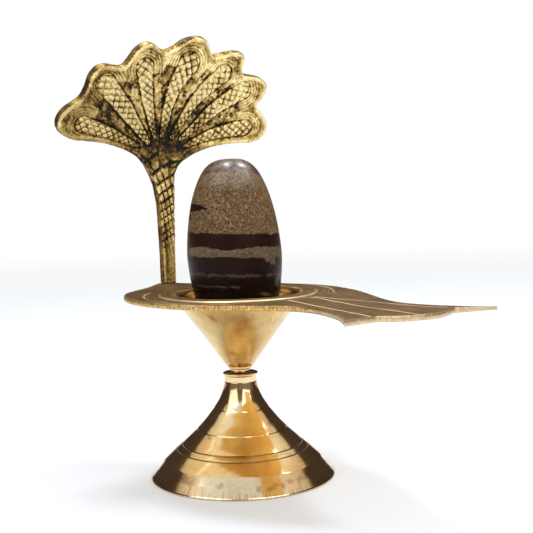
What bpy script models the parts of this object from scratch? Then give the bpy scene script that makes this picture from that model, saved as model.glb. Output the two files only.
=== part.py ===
"""A shiva lingam stone on its brass stand.

The egg-shaped river stone rests in a conical brass cup. The cup stands on a turned
conical base and carries a flat leaf-shaped plate with a fish-tail spout. A cast
seven-lobed naga hood rises from the back of the plate and leans over the stone.

Frame: metres, +Z up, +X along the spout, origin at the centre of the base's underside.
"""

from math import cos, pi, radians, sin

import bmesh
import bpy
from mathutils import Matrix, Vector

MM = 0.001
GAP = 0.3

# Stone, in millimetres: a long egg, widest below the middle, a little off the stand's axis.
STONE_RADIUS = 15.3
STONE_WIDEST_Z = 72.0
STONE_TOP_Z = 103.2
STONE_BOTTOM_Z = 42.2
STONE_SIDE_POWER = 3.0
STONE_END_POWER = 1.6
STONE_OFFSET = (-0.4, -0.55)
STONE_TILT = (radians(1.5), radians(-1.2))
STONE_SIDES = 32
STONE_RINGS_PER_END = 9

# Base: a turned cone with a concave flank, a thin neck and a lip disc on top.
BASE_TOP_Z = 33.8
BASE_SIDES = 52
LIP_RADIUS = 5.7
NECK_RADIUS = 5.3
GROOVE_DEPTH = 0.35
RIM_RADIUS = 30.0

# Cup: a thin cone on a small foot ring, its collar seated in the plate's hole.
CUP_SIDES = 52
CUP_FOOT_RADIUS = 3.9
CUP_CONE_START = (4.9, 36.7)
CUP_SLOPE = 0.722
CUP_WALL = 1.6
COLLAR_RADIUS = 20.0
COLLAR_INNER_RADIUS = 19.3
COLLAR_TOP_Z = 59.3
CUP_FLOOR_Z = 39.0

# Plate: one cut sheet with a round hole and a raised band round the hole.
PLATE_BOTTOM_Z = 57.6
PLATE_THICKNESS = 1.9
HOLE_RADIUS = COLLAR_RADIUS + GAP
BAND_RADIUS = 25.4
BAND_HEIGHT = 0.4
BAND_SIDES = 52

# The plate's edge from the rear tip to the tail's corner, on each side: distance along
# the spout, then distance across. The sheet was cut by hand, so the sides differ a little.
REAR_TIP = (-50.0, 3.6)
RIGHT_EDGE = (
    (-46.8, -0.6), (-40.9, -7.6), (-35.1, -17.0), (-29.6, -24.2), (-22.0, -29.2), (-13.3, -32.0),
    (-3.2, -32.8), (7.3, -31.2), (17.6, -27.0), (28.6, -20.6), (37.0, -15.0), (43.5, -12.7),
    (49.0, -12.6), (56.0, -14.6), (64.2, -18.1), (71.0, -22.6),
)
LEFT_EDGE = (
    (-48.2, 7.6), (-42.5, 9.2), (-36.0, 12.4), (-26.0, 20.2), (-16.0, 27.4), (-6.0, 31.8),
    (4.0, 33.6), (14.0, 32.8), (24.5, 30.0), (35.5, 25.0), (46.0, 19.6), (54.5, 16.4),
    (62.0, 15.8), (70.0, 18.4), (76.0, 23.6),
)
RIGHT_CORNER = (76.8, -27.6)
LEFT_CORNER = (80.6, 29.4)
RIGHT_NOTCH = (75.8, -14.6)
LEFT_NOTCH = (75.7, 17.2)
TAIL_BULGE = ((79.6, -8.6), (81.4, 0.5), (80.2, 7.4))
# The tail is twisted a little, so its left edge hangs lower than its right one.
TAIL_TWIST = 0.028
TWIST_START = 10.0
TWIST_LENGTH = 45.0

# Naga hood: laid out on its own face, across and up from the foot, then bent and placed.
HOOD_FOOT = (-46.6, 5.9)
HOOD_TURN = radians(-6.5)
HOOD_LEAN = radians(25.0)
BEND_START = 34.0
BEND_END = 48.0
HOOD_THICKNESS = 3.5
HOOD_DISH = 1.5
HOOD_HALF_SPAN = 42.0
# The stem's height, right edge and left edge, from the foot up to the junction with the hood.
STEM_EDGES = (
    (0.0, -2.9, 1.9), (8.0, -2.9, 1.9), (16.0, -3.1, 2.1), (28.0, -3.6, 2.4),
    (35.0, -4.8, 2.6), (38.5, -6.4, 3.0), (41.5, -8.4, 4.0),
)
# The lower edges curve out from the junction towards these points.
LOWER_PULLS = ((-16.8, 51.4), (10.5, 51.2))
MIDDLE_PULL_RISE = 9.0
# The scalloped edge, from the lower corner on one side to the lower corner on the other. Each row
# starts at the notch before a lobe, and its fourth point is that lobe's tip.
LOBE_EDGES = (
    ((-37.5, 52.5), (-41.2, 53.8), (-43.9, 55.5), (-45.0, 58.3), (-44.3, 61.4), (-42.1, 64.0)),
    ((-38.0, 67.0), (-36.3, 70.3), (-35.2, 74.9), (-32.7, 78.0), (-29.5, 78.7), (-26.4, 78.3)),
    ((-23.6, 78.5), (-21.8, 81.0), (-19.6, 84.4), (-16.2, 86.5), (-13.4, 86.3), (-11.0, 84.8)),
    ((-8.4, 84.2), (-5.2, 85.7), (-2.0, 88.1), (2.5, 89.4), (5.6, 88.9), (7.7, 86.6)),
    ((9.9, 83.5), (13.3, 83.9), (17.2, 84.9), (21.0, 84.9), (22.7, 82.9), (22.5, 80.0)),
    ((23.5, 77.3), (27.2, 76.7), (31.0, 76.0), (33.8, 73.9), (34.1, 70.9), (32.7, 68.1)),
    ((31.5, 65.5), (34.0, 63.3), (36.6, 60.5), (37.9, 57.7), (37.5, 54.8), (35.4, 52.6)),
)
LAST_CORNER = (31.9, 51.2)
LOBES = len(LOBE_EDGES)
COLUMNS_PER_LOBE = len(LOBE_EDGES[0])
FAN_ROWS = 11
# Relief of the hood's front, up from the middle of its thickness.
RIM_SHARE = 0.9
RIB_LOW = 0.35
RIB_HIGH = 1.5

# Linear base colour, metallic and roughness of each material.
LOOKS = {
    "banded_stone": ((0.052, 0.026, 0.018, 1.0), 0.0, 0.3),
    "polished_brass_base": ((0.72, 0.50, 0.22, 1.0), 1.0, 0.18),
    "polished_brass_cup": ((0.78, 0.58, 0.28, 1.0), 1.0, 0.22),
    "brushed_brass_plate": ((0.30, 0.20, 0.10, 1.0), 1.0, 0.45),
    "antique_brass_hood": ((0.45, 0.33, 0.14, 1.0), 1.0, 0.38),
}


def clear_scene():
    for old in list(bpy.data.objects):
        bpy.data.objects.remove(old, do_unlink=True)


def new_collection(name):
    collection = bpy.data.collections.new(name)
    bpy.context.scene.collection.children.link(collection)
    return collection


def make_material(name):
    colour, metallic, roughness = LOOKS[name]
    material = bpy.data.materials.new(name)
    material.use_nodes = True
    shader = material.node_tree.nodes["Principled BSDF"]
    shader.inputs["Base Color"].default_value = colour
    shader.inputs["Metallic"].default_value = metallic
    shader.inputs["Roughness"].default_value = roughness
    material.diffuse_color = colour
    return material


def object_from_mesh(name, mesh, collection):
    part = bpy.data.objects.new(name, mesh)
    collection.objects.link(part)
    return part


def as_mesh(part):
    """Replace an object by the mesh that its modifiers or its curve give."""
    bpy.context.view_layer.update()
    evaluated = part.evaluated_get(bpy.context.evaluated_depsgraph_get())
    mesh = bpy.data.meshes.new_from_object(evaluated)
    work = bmesh.new()
    work.from_mesh(mesh)
    bmesh.ops.remove_doubles(work, verts=work.verts, dist=0.01 * MM)
    work.to_mesh(mesh)
    work.free()
    name = part.name
    place = part.matrix_world.copy()
    collection = part.users_collection[0]
    bpy.data.objects.remove(part, do_unlink=True)
    made = object_from_mesh(name, mesh, collection)
    made.matrix_world = place
    return made


def finish(part, material_name, sharp_angle=30.0):
    part.data.shade_smooth()
    part.data.set_sharp_from_angle(angle=radians(sharp_angle))
    part.data.materials.clear()
    part.data.materials.append(make_material(material_name))
    return part


def turned(name, profile, sides, collection):
    """Turn a profile of (radius, height) points in millimetres about the Z axis."""
    mesh = bpy.data.meshes.new(name)
    points = [(radius * MM, 0.0, height * MM) for radius, height in profile]
    mesh.from_pydata(points, [(i, i + 1) for i in range(len(points) - 1)], [])
    part = object_from_mesh(name, mesh, collection)
    screw = part.modifiers.new("Turn", "SCREW")
    screw.axis = "Z"
    screw.steps = sides
    screw.render_steps = sides
    screw.use_merge_vertices = True
    screw.merge_threshold = 0.01 * MM
    return as_mesh(part)


def cut_or_join(part, other, operation):
    """Apply a Boolean with another object, which is kept as a cutter."""
    boolean = part.modifiers.new(operation.title(), "BOOLEAN")
    boolean.operation = operation
    boolean.solver = "EXACT"
    boolean.object = other
    other.hide_render = True
    other.display_type = "WIRE"


def stone_profile():
    """Half outline of the egg, top to bottom, as two superellipse quarters."""
    points = []
    for end_z, turns in ((STONE_TOP_Z, range(STONE_RINGS_PER_END, 0, -1)),
                         (STONE_BOTTOM_Z, range(0, STONE_RINGS_PER_END + 1))):
        for ring in turns:
            angle = 0.5 * pi * ring / STONE_RINGS_PER_END
            radius = STONE_RADIUS * max(cos(angle), 0.0) ** (2.0 / STONE_SIDE_POWER)
            share = sin(angle) ** (2.0 / STONE_END_POWER)
            height = STONE_WIDEST_Z + share * (end_z - STONE_WIDEST_Z)
            points.append((0.0 if ring == STONE_RINGS_PER_END else radius, height))
    return points


def make_stone(collection):
    stone = turned("stone", stone_profile(), STONE_SIDES, collection)
    pivot = Vector((0.0, 0.0, STONE_WIDEST_Z * MM))
    shift = Vector((STONE_OFFSET[0] * MM, STONE_OFFSET[1] * MM, 0.0))
    lean = Matrix.Rotation(STONE_TILT[0], 4, "X") @ Matrix.Rotation(STONE_TILT[1], 4, "Y")
    stone.data.transform(Matrix.Translation(pivot + shift) @ lean @ Matrix.Translation(-pivot))
    return finish(stone, "banded_stone")


def groove(radius, height, slope):
    """Three profile points of a fine turned groove on a flank of the given slope."""
    half = GROOVE_DEPTH
    return [
        (radius - half * slope, height + half),
        (radius - GROOVE_DEPTH, height),
        (radius + half * slope, height - half),
    ]


def base_profile():
    """Outer side of the base, top to bottom, then back to the axis."""
    lip = [(0.0, BASE_TOP_Z), (LIP_RADIUS - 0.2, BASE_TOP_Z), (LIP_RADIUS, BASE_TOP_Z - 0.2),
           (LIP_RADIUS, BASE_TOP_Z - 1.3), (NECK_RADIUS, BASE_TOP_Z - 1.7)]
    neck = [(NECK_RADIUS, 30.2), (5.8, 28.0)]
    flank = [(7.4, 24.7), (9.7, 21.2), (12.3, 18.1), (14.3, 15.9), (14.8, 15.6), (17.6, 12.8)]
    grooves = groove(19.6, 10.8, 1.0) + groove(21.7, 8.8, 1.0)
    step = [(23.6, 7.0), (25.1, 6.6), (25.9, 5.2)]
    rim = [(28.0, 3.4), (29.2, 1.9), (RIM_RADIUS - 0.2, 0.7), (RIM_RADIUS, 0.3), (RIM_RADIUS, 0.0)]
    return lip + neck + flank + grooves + step + rim + [(0.0, 0.0)]


def make_base(collection):
    return finish(turned("base", base_profile(), BASE_SIDES, collection), "polished_brass_base")


def cone_radius(height):
    """Outer radius of the cup's cone at a height."""
    return CUP_CONE_START[0] + CUP_SLOPE * (height - CUP_CONE_START[1])


def cup_profile():
    """Inside of the cup from its floor up to the collar, then down the outside to the foot."""
    inner_heights = (40.6, 45.0, 51.0, 57.4)
    inside = [(0.0, CUP_FLOOR_Z), (3.4, CUP_FLOOR_Z + 0.3)]
    inside += [(cone_radius(height) - CUP_WALL, height) for height in inner_heights]
    collar = [(COLLAR_INNER_RADIUS, 57.9), (COLLAR_INNER_RADIUS, COLLAR_TOP_Z),
              (COLLAR_RADIUS, COLLAR_TOP_Z)]
    outside = [(cone_radius(height), height) for height in (56.8, 51.0, 45.0, 40.0)]
    foot_z = BASE_TOP_Z + GAP
    foot = [CUP_CONE_START, (CUP_FOOT_RADIUS, 36.0), (CUP_FOOT_RADIUS, foot_z), (0.0, foot_z)]
    return inside + collar + outside + foot


def make_cup(collection):
    return finish(turned("cup", cup_profile(), CUP_SIDES, collection), "polished_brass_cup")


def plate_outline_curve(collection):
    """The sheet's outline as a filled 2D curve, smooth but for the tail's corners and notches."""
    corners = (RIGHT_CORNER, RIGHT_NOTCH, LEFT_NOTCH, LEFT_CORNER)
    outline = [REAR_TIP, *RIGHT_EDGE, RIGHT_CORNER, RIGHT_NOTCH, *TAIL_BULGE,
               LEFT_NOTCH, LEFT_CORNER, *reversed(LEFT_EDGE)]
    curve = bpy.data.curves.new("plate", "CURVE")
    curve.dimensions = "2D"
    curve.fill_mode = "BOTH"
    curve.extrude = 0.5 * PLATE_THICKNESS * MM
    curve.resolution_u = 3
    spline = curve.splines.new("BEZIER")
    spline.bezier_points.add(len(outline) - 1)
    spline.use_cyclic_u = True
    for point, (along, across) in zip(spline.bezier_points, outline):
        point.co = (along * MM, across * MM, 0.0)
        kind = "VECTOR" if (along, across) in corners else "AUTO"
        point.handle_left_type = kind
        point.handle_right_type = kind
    plate = bpy.data.objects.new("plate", curve)
    plate.location = (0.0, 0.0, (PLATE_BOTTOM_Z + 0.5 * PLATE_THICKNESS) * MM)
    collection.objects.link(plate)
    return plate


def make_plate(collection, cutters):
    plate = as_mesh(plate_outline_curve(collection))
    middle_z = PLATE_BOTTOM_Z + 0.5 * PLATE_THICKNESS
    top_z = PLATE_BOTTOM_Z + PLATE_THICKNESS
    band_edge = [(0.0, top_z + BAND_HEIGHT), (BAND_RADIUS - 0.5, top_z + BAND_HEIGHT),
                 (BAND_RADIUS, top_z - 0.1), (BAND_RADIUS, middle_z), (0.0, middle_z)]
    band = turned("plate_band", band_edge, BAND_SIDES, cutters)
    hole_edge = [(0.0, top_z + 5.0), (HOLE_RADIUS, top_z + 5.0),
                 (HOLE_RADIUS, PLATE_BOTTOM_Z - 5.0), (0.0, PLATE_BOTTOM_Z - 5.0)]
    hole = turned("plate_hole", hole_edge, BAND_SIDES, cutters)
    cut_or_join(plate, band, "UNION")
    cut_or_join(plate, hole, "DIFFERENCE")
    plate = as_mesh(plate)
    for vertex in plate.data.vertices:
        ramp = smooth_step((vertex.co.x / MM - TWIST_START) / TWIST_LENGTH)
        vertex.co.z -= TAIL_TWIST * ramp * vertex.co.y
    return finish(plate, "brushed_brass_plate")


def between(low, high, share):
    return low + (high - low) * share


def smooth_step(value):
    value = min(max(value, 0.0), 1.0)
    return value * value * (3.0 - 2.0 * value)


def lobe_edge(side):
    """A point of the hood's scalloped edge; side runs from -1 to 1 across the lobes."""
    points = [point for lobe in LOBE_EDGES for point in lobe] + [LAST_CORNER]
    place = 0.5 * (side + 1.0) * (len(points) - 1)
    first = min(int(place), len(points) - 2)
    return Vector(points[first]).lerp(Vector(points[first + 1]), place - first)


def hood_point(side, reach):
    """A point of the hood's face: reach 0 is the junction with the stem, 1 the edge."""
    share = 0.5 * (side + 1.0)
    height, first, last = STEM_EDGES[-1]
    start = Vector((between(first, last, share), height))
    pull = Vector(LOWER_PULLS[0]).lerp(Vector(LOWER_PULLS[1]), share)
    pull.y += MIDDLE_PULL_RISE * (1.0 - side * side)
    rest = 1.0 - reach
    return start * rest * rest + pull * 2.0 * reach * rest + lobe_edge(side) * reach * reach


def bent(across, up, out):
    """Bend the flat layout: the hood leans forward above the stem, and its sides come forward."""
    steps = 24
    rise = 0.0
    forward = 0.0
    for step in range(steps):
        height = up * (step + 0.5) / steps
        lean = HOOD_LEAN * smooth_step((height - BEND_START) / (BEND_END - BEND_START))
        rise += cos(lean) * up / steps
        forward += sin(lean) * up / steps
    lean = HOOD_LEAN * smooth_step((up - BEND_START) / (BEND_END - BEND_START))
    spread = abs(across) / HOOD_HALF_SPAN
    out = out + HOOD_DISH * spread * spread
    return Vector((forward + out * cos(lean), across, rise - out * sin(lean)))


def front_relief(side, reach):
    """Height of the front face over the middle of the sheet: rounded necks inside a rim."""
    share = 0.5 * (side + 1.0) * LOBES
    rib = abs(sin(pi * share))
    low = between(0.5 * HOOD_THICKNESS, RIB_LOW, smooth_step(reach * 4.0))
    high = between(0.5 * HOOD_THICKNESS, RIB_HIGH, smooth_step(reach * 4.0))
    inside = between(low, high, rib)
    return between(inside, 0.5 * HOOD_THICKNESS, smooth_step((reach - RIM_SHARE + 0.08) / 0.08))


def make_hood(collection):
    """Loft the stem and the fan of lobes as one sheet with a front, a back and an edge."""
    columns = LOBES * COLUMNS_PER_LOBE + 1
    sides = [2.0 * column / (columns - 1) - 1.0 for column in range(columns)]
    rows = []
    for height, first, last in STEM_EDGES[:-1]:
        rows.append([(between(first, last, 0.5 * (side + 1.0)), height, 0.5 * HOOD_THICKNESS)
                     for side in sides])
    for step in range(FAN_ROWS + 1):
        reach = (step / FAN_ROWS) ** 0.9
        row = []
        for side in sides:
            across, up = hood_point(side, reach)
            row.append((across, up, front_relief(side, reach)))
        rows.append(row)
    foot = Matrix.Translation((HOOD_FOOT[0], HOOD_FOOT[1], PLATE_BOTTOM_Z + PLATE_THICKNESS + GAP))
    place = foot @ Matrix.Rotation(HOOD_TURN, 4, "Z")
    work = bmesh.new()
    front = []
    back = []
    for row in rows:
        front.append([work.verts.new(place @ bent(*point) * MM) for point in row])
        back.append([work.verts.new(place @ bent(x, y, -0.5 * HOOD_THICKNESS) * MM)
                     for x, y, _ in row])
    for low, high in zip(range(len(rows) - 1), range(1, len(rows))):
        for left in range(columns - 1):
            right = left + 1
            work.faces.new((front[low][left], front[low][right], front[high][right], front[high][left]))
            work.faces.new((back[low][left], back[high][left], back[high][right], back[low][right]))
        for column, turn in ((0, 1), (columns - 1, -1)):
            ring = (front[low][column], front[high][column], back[high][column], back[low][column])
            work.faces.new(ring[::turn])
    for row, turn in ((0, -1), (len(rows) - 1, 1)):
        for left in range(columns - 1):
            ring = (front[row][left], front[row][left + 1], back[row][left + 1], back[row][left])
            work.faces.new(ring[::turn])
    bmesh.ops.recalc_face_normals(work, faces=work.faces)
    mesh = bpy.data.meshes.new("naga_hood")
    work.to_mesh(mesh)
    work.free()
    return finish(object_from_mesh("naga_hood", mesh, collection), "antique_brass_hood", 40.0)


def main():
    clear_scene()
    parts = new_collection("shiva_lingam_on_stand")
    cutters = new_collection("cutters")
    make_stone(parts)
    make_base(parts)
    make_cup(parts)
    make_plate(parts, cutters)
    make_hood(parts)


main()
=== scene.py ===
"""The looks of the shiva lingam stone on its brass stand: detailed pieces, materials and studio."""
from math import cos, pi, radians, sin

import bmesh
import bpy
import numpy as np
from mathutils import Matrix, Vector, noise


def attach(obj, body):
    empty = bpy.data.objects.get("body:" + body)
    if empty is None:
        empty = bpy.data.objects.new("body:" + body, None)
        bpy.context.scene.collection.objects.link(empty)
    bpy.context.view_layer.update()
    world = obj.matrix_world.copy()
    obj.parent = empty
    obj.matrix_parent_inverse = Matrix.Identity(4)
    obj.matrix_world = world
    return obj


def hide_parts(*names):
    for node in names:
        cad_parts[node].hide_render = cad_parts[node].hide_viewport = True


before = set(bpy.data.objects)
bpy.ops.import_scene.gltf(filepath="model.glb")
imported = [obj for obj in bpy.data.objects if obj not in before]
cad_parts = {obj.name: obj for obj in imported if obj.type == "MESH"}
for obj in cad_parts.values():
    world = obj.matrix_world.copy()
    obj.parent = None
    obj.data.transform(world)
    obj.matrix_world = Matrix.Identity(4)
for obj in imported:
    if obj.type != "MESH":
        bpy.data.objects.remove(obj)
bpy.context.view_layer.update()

MM = 0.001


# Driving dimensions, in millimetres, as in the part.

STONE_RADIUS = 15.3
STONE_WIDEST_Z = 72.0
STONE_TOP_Z = 102.75
STONE_BOTTOM_Z = 42.2
STONE_SIDE_POWER = 3.0
STONE_END_POWER = 1.6
STONE_OFFSET = (-0.4, -0.55)
STONE_TILT = (radians(1.5), radians(-1.2))

BASE_TOP_Z = 33.8

CUP_CONE_START = (4.9, 36.7)
CUP_SLOPE = 0.722
CUP_WALL = 1.6
COLLAR_RADIUS = 20.0
COLLAR_INNER_RADIUS = 19.3
COLLAR_TOP_Z = 59.3
CUP_FLOOR_Z = 39.0
GAP = 0.3

PLATE_BOTTOM_Z = 57.6
PLATE_THICKNESS = 1.9
PLATE_TOP_Z = PLATE_BOTTOM_Z + PLATE_THICKNESS
HOLE_RADIUS = COLLAR_RADIUS + GAP
BAND_RADIUS = 25.4
BAND_HEIGHT = 0.4
GROOVE_RADIUS = 22.6
REAR_TIP = (-50.0, 3.6)
RIGHT_EDGE = (
    (-46.8, -0.6), (-40.9, -7.6), (-35.1, -17.0), (-29.6, -24.2), (-22.0, -29.2), (-13.3, -32.0),
    (-3.2, -32.8), (7.3, -31.2), (17.6, -27.0), (28.6, -20.6), (37.0, -15.0), (43.5, -12.7),
    (49.0, -12.6), (56.0, -14.6), (64.2, -18.1), (71.0, -22.6),
)
LEFT_EDGE = (
    (-48.2, 7.6), (-42.5, 9.2), (-36.0, 12.4), (-26.0, 20.2), (-16.0, 27.4), (-6.0, 31.8),
    (4.0, 33.6), (14.0, 32.8), (24.5, 30.0), (35.5, 25.0), (46.0, 19.6), (54.5, 16.4),
    (62.0, 15.8), (70.0, 18.4), (76.0, 23.6),
)
RIGHT_CORNER = (76.8, -27.6)
LEFT_CORNER = (80.6, 29.4)
RIGHT_NOTCH = (75.8, -14.6)
LEFT_NOTCH = (75.7, 17.2)
TAIL_BULGE = ((79.6, -8.6), (81.4, 0.5), (80.2, 7.4))
TAIL_TWIST = 0.028
TWIST_START = 10.0
TWIST_LENGTH = 45.0

HOOD_FOOT = (-46.6, 5.9)
HOOD_TURN = radians(-6.5)
HOOD_LEAN = radians(25.0)
BEND_START = 34.0
BEND_END = 48.0
HOOD_THICKNESS = 3.5
HOOD_DISH = 1.5
HOOD_HALF_SPAN = 42.0
STEM_EDGES = (
    (0.0, -2.9, 1.9), (8.0, -2.9, 1.9), (16.0, -3.1, 2.1), (28.0, -3.6, 2.4),
    (35.0, -4.8, 2.6), (38.5, -6.4, 3.0), (41.5, -8.4, 4.0),
)
LOWER_PULLS = ((-16.8, 51.4), (10.5, 51.2))
MIDDLE_PULL_RISE = 9.0
LOBE_EDGES = (
    ((-37.5, 52.5), (-41.2, 53.8), (-43.9, 55.5), (-45.0, 58.3), (-44.3, 61.4), (-42.1, 64.0)),
    ((-38.0, 67.0), (-36.3, 70.3), (-35.2, 74.9), (-32.7, 78.0), (-29.5, 78.7), (-26.4, 78.3)),
    ((-23.6, 78.5), (-21.8, 81.0), (-19.6, 84.4), (-16.2, 86.5), (-13.4, 86.3), (-11.0, 84.8)),
    ((-8.4, 84.2), (-5.2, 85.7), (-2.0, 88.1), (2.5, 89.4), (5.6, 88.9), (7.7, 86.6)),
    ((9.9, 83.5), (13.3, 83.9), (17.2, 84.9), (21.0, 84.9), (22.7, 82.9), (22.5, 80.0)),
    ((23.5, 77.3), (27.2, 76.7), (31.0, 76.0), (33.8, 73.9), (34.1, 70.9), (32.7, 68.1)),
    ((31.5, 65.5), (34.0, 63.3), (36.6, 60.5), (37.9, 57.7), (37.5, 54.8), (35.4, 52.6)),
)
LAST_CORNER = (31.9, 51.2)
LOBES = len(LOBE_EDGES)


# Small helpers for shapes.

def rising(value, start, width):
    """0 up to the start, 1 from one width beyond it on, and a smooth rise between."""
    share = np.clip((value - start) / width, 0.0, 1.0)
    return share * share * (3.0 - 2.0 * share)


def falling(value, start, width):
    return 1.0 - rising(value, start, width)


def mix(low, high, share):
    return low + (high - low) * share


def running_total(steps):
    """The sum of the steps so far, from 0."""
    return np.concatenate([[0.0], np.cumsum(steps)])


def groove(distance, width):
    """A share of 1 on the line, falling smoothly to about a third one width away."""
    return np.exp(-(distance / width) ** 2)


def field_noise(points, scale, seed=0.0):
    """Smooth noise from -1 to 1 at each (x, y, z) row, with features about scale across."""
    shift = Vector((seed * 17.3, seed * 5.1, seed * 9.7))
    flat = np.asarray(points, dtype=float).reshape(-1, 3) / scale
    values = [noise.noise(Vector(point) + shift) for point in flat]
    return np.array(values).reshape(np.asarray(points).shape[:-1])


def raised_to(points, height):
    """The (x, y) points with the same height added as their third number."""
    return np.concatenate([points, np.full((*points.shape[:-1], 1), height)], axis=-1)


def spline_through(points, per_span):
    """Catmull-Rom points through the given ones."""
    given = np.array(points, dtype=float)
    count = len(given)
    shares = np.arange(per_span) / per_span
    made = []
    for span in range(count - 1):
        near = [given[min(max(span + k, 0), count - 1)] for k in (-1, 0, 1, 2)]
        for share in shares:
            square, cube = share * share, share ** 3
            made.append(0.5 * (2 * near[1] + (near[2] - near[0]) * share
                               + (2 * near[0] - 5 * near[1] + 4 * near[2] - near[3]) * square
                               + (3 * near[1] - near[0] - 3 * near[2] + near[3]) * cube))
    made.append(given[-1])
    return np.array(made)


def rounded(points, radius, steps=4):
    """A polyline whose inner corners are rounded with small arcs."""
    given = [np.array(point, dtype=float) for point in points]
    made = [given[0]]
    for before, corner, after in zip(given, given[1:], given[2:]):
        first = before - corner
        second = after - corner
        reach_in = min(radius, 0.45 * np.linalg.norm(first)) / max(np.linalg.norm(first), 1e-9)
        reach_out = min(radius, 0.45 * np.linalg.norm(second)) / max(np.linalg.norm(second), 1e-9)
        start = corner + first * reach_in
        end = corner + second * reach_out
        for step in range(steps + 1):
            share = step / steps
            made.append(start * (1 - share) ** 2 + corner * 2 * share * (1 - share) + end * share ** 2)
    made.append(given[-1])
    return np.array(made)


def new_object(name, points, faces, smooth_angle=40.0):
    mesh = bpy.data.meshes.new(name)
    mesh.from_pydata([tuple(point) for point in np.asarray(points) * MM], [],
                     [tuple(face) for face in faces])
    mesh.validate()
    work = bmesh.new()
    work.from_mesh(mesh)
    bmesh.ops.recalc_face_normals(work, faces=work.faces)
    work.to_mesh(mesh)
    work.free()
    mesh.shade_smooth()
    mesh.set_sharp_from_angle(angle=radians(smooth_angle))
    made = bpy.data.objects.new(name, mesh)
    bpy.context.scene.collection.objects.link(made)
    return made


def add_values(made, name, values):
    """A number for each point of the mesh, which the material reads by name."""
    layer = made.data.attributes.new(name, "FLOAT", "POINT")
    layer.data.foreach_set("value", np.asarray(values, dtype=np.float32).ravel())


def grid_faces(index):
    """Faces between the rows and columns of a grid of points."""
    return np.stack([index[:-1, :-1].ravel(), index[1:, :-1].ravel(),
                     index[1:, 1:].ravel(), index[:-1, 1:].ravel()], axis=1)


def band_faces(upper, lower):
    """Faces between two closed loops of points."""
    return np.stack([upper, lower, np.roll(lower, -1), np.roll(upper, -1)], axis=1)


def edge_faces(loop, count, levels):
    """Faces from a sheet's first side, through the levels of its edge, to its second side."""
    size = len(loop)
    chain = [loop, *(2 * count + size * k + np.arange(size) for k in range(levels)), loop + count]
    return np.vstack([band_faces(upper, lower) for upper, lower in zip(chain, chain[1:])])


def lathe(name, profile, sides, smooth_angle=40.0, waver=None):
    """A closed turned body from (radius, height) points that start and end on the axis."""
    profile = np.asarray(profile, dtype=float)
    turns = 2.0 * pi * np.arange(sides) / sides
    rings = profile[1:-1]
    radii = np.repeat(rings[:, :1], sides, axis=1)
    points = np.stack([radii * np.cos(turns), radii * np.sin(turns),
                       np.repeat(rings[:, 1:], sides, axis=1)], axis=-1)
    if waver is not None:
        points = waver(points)
    index = np.arange(len(rings) * sides).reshape(-1, sides)
    poles = [[0.0, 0.0, profile[0, 1]], [0.0, 0.0, profile[-1, 1]]]
    faces = [face for low, high in zip(index, index[1:]) for face in band_faces(low, high)]
    for pole, ring in ((index.size, index[0]), (index.size + 1, index[-1][::-1])):
        faces += [(pole, here, after) for here, after in zip(ring, np.roll(ring, -1))]
    every = np.concatenate([points.reshape(-1, 3), poles])
    return new_object(name, every, faces, smooth_angle)


# Material building blocks.

class Value:
    """A node's output, which is added, multiplied and so on like a number."""

    def __init__(self, nodes, socket):
        self.nodes = nodes
        self.socket = socket

    def __add__(self, other):
        return self.nodes.maths("ADD", self, other)

    def __sub__(self, other):
        return self.nodes.maths("SUBTRACT", self, other)

    def __rsub__(self, other):
        return self.nodes.maths("SUBTRACT", other, self)

    def __mul__(self, other):
        return self.nodes.maths("MULTIPLY", self, other)

    def __pow__(self, other):
        return self.nodes.maths("POWER", self, other)

    def __abs__(self):
        return self.nodes.maths("ABSOLUTE", self)


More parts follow.
